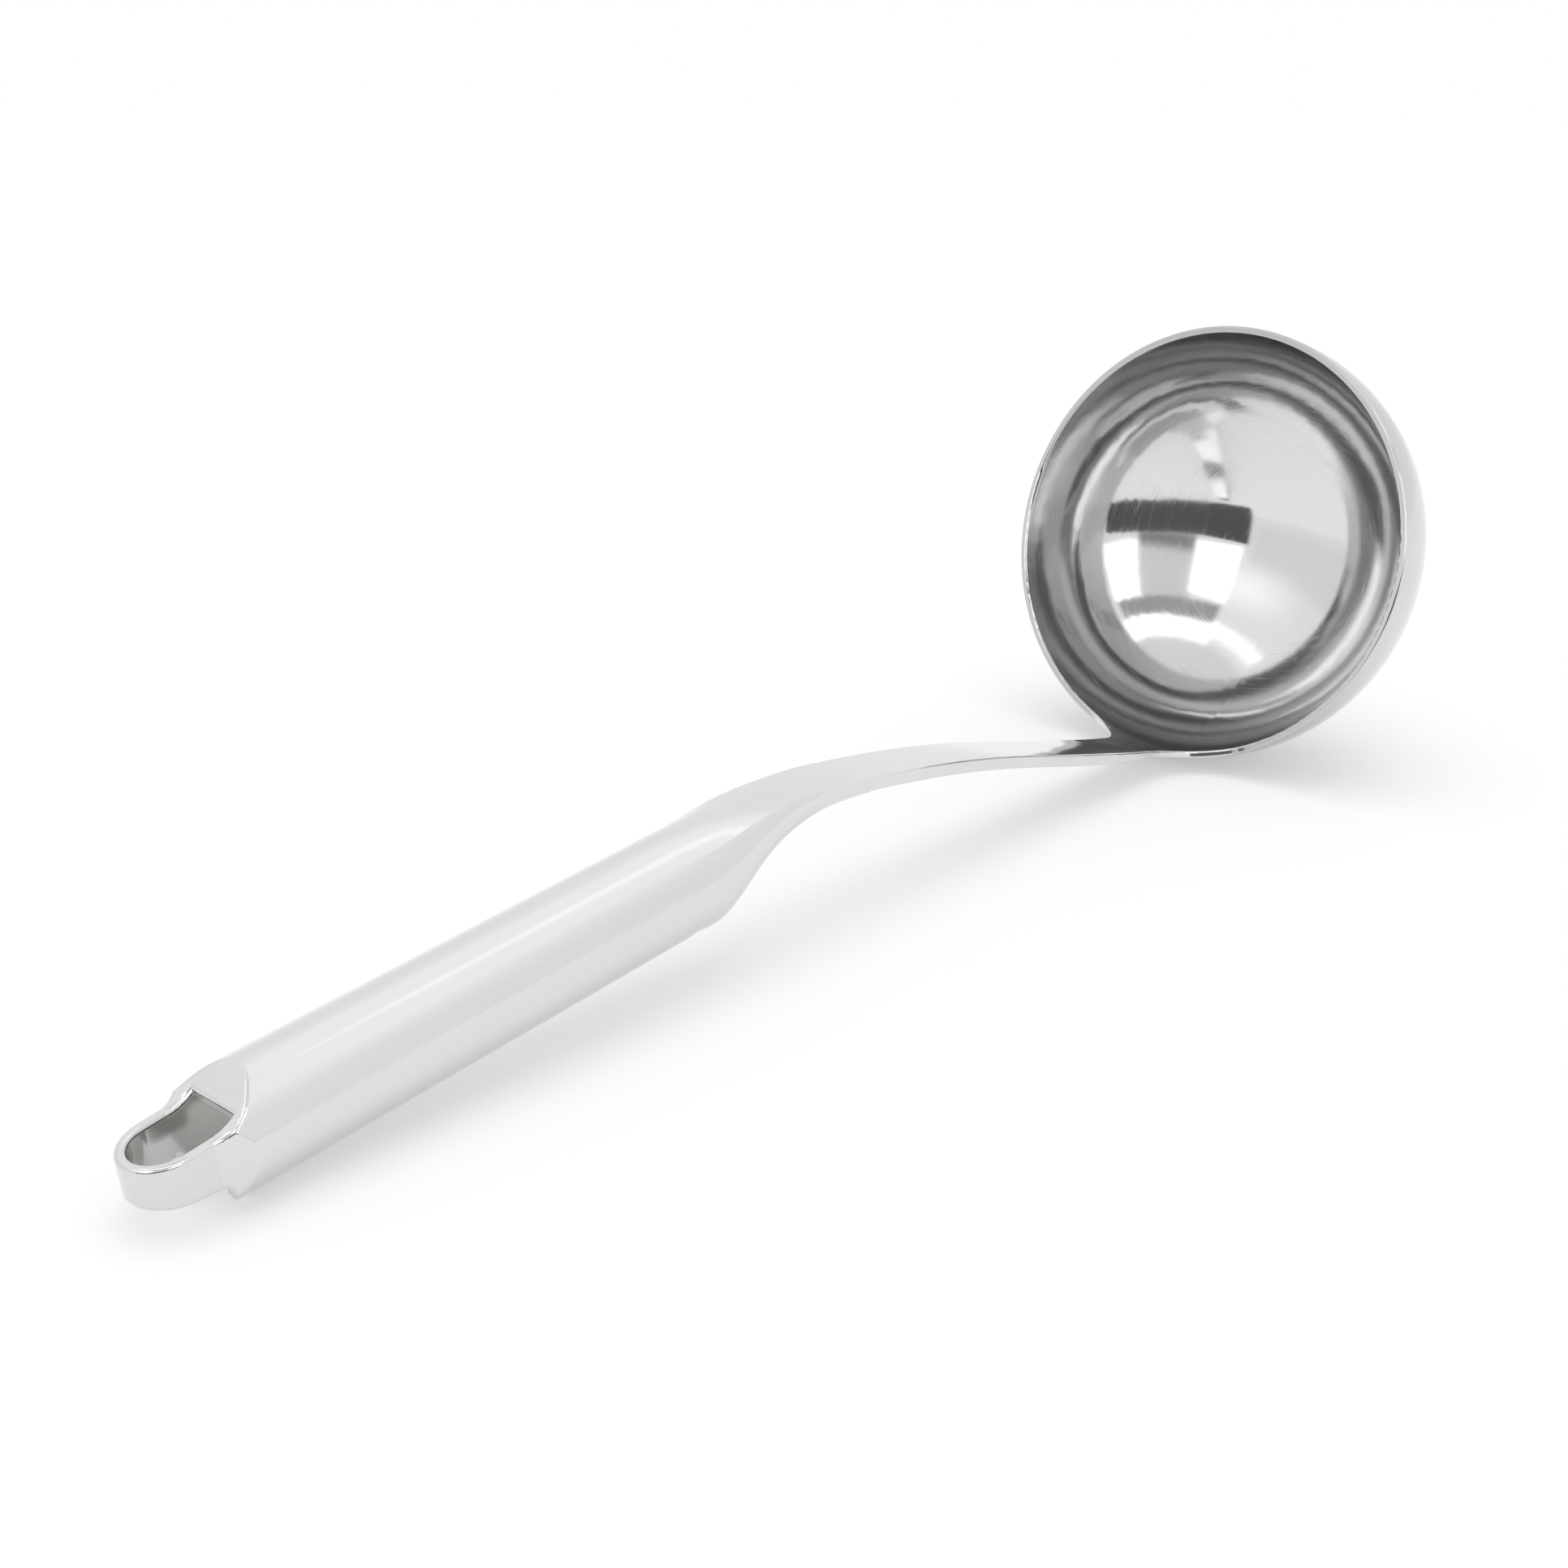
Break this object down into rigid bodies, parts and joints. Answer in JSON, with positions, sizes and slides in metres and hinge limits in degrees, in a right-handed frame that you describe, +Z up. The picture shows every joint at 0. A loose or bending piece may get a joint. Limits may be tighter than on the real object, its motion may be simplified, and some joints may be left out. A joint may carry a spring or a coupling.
{
  "type": "soup ladle",
  "caption": "Stainless steel soup ladle with a deep round bowl, a flat arched stem and a hollow round handle that ends in a hanging eye, lying at rest",
  "frame": {"origin": "middle of the ladle's footprint, on the surface it lies on", "axes": "X runs along the ladle from the bowl to the hanging eye, Y across it, Z up; the ladle is the same on both sides of the XZ plane"},
  "size_m": [0.3103, 0.095, 0.0938],
  "materials": {
    "bowl_steel": "spun and polished inside with fine ring-shaped scratches, bright ground rim",
    "handle_steel": "satin, with soft bands of reflection",
    "eye_steel": "satin, rounded and lightly polished edges"
  },
  "bodies": {
    "root": {"bowl_and_stem": "bowl_steel", "handle_upper_shell": "handle_steel", "handle_lower_shell": "handle_steel", "end_plug": "eye_steel", "hanging_loop": "eye_steel"}
  },
  "joints": []
}
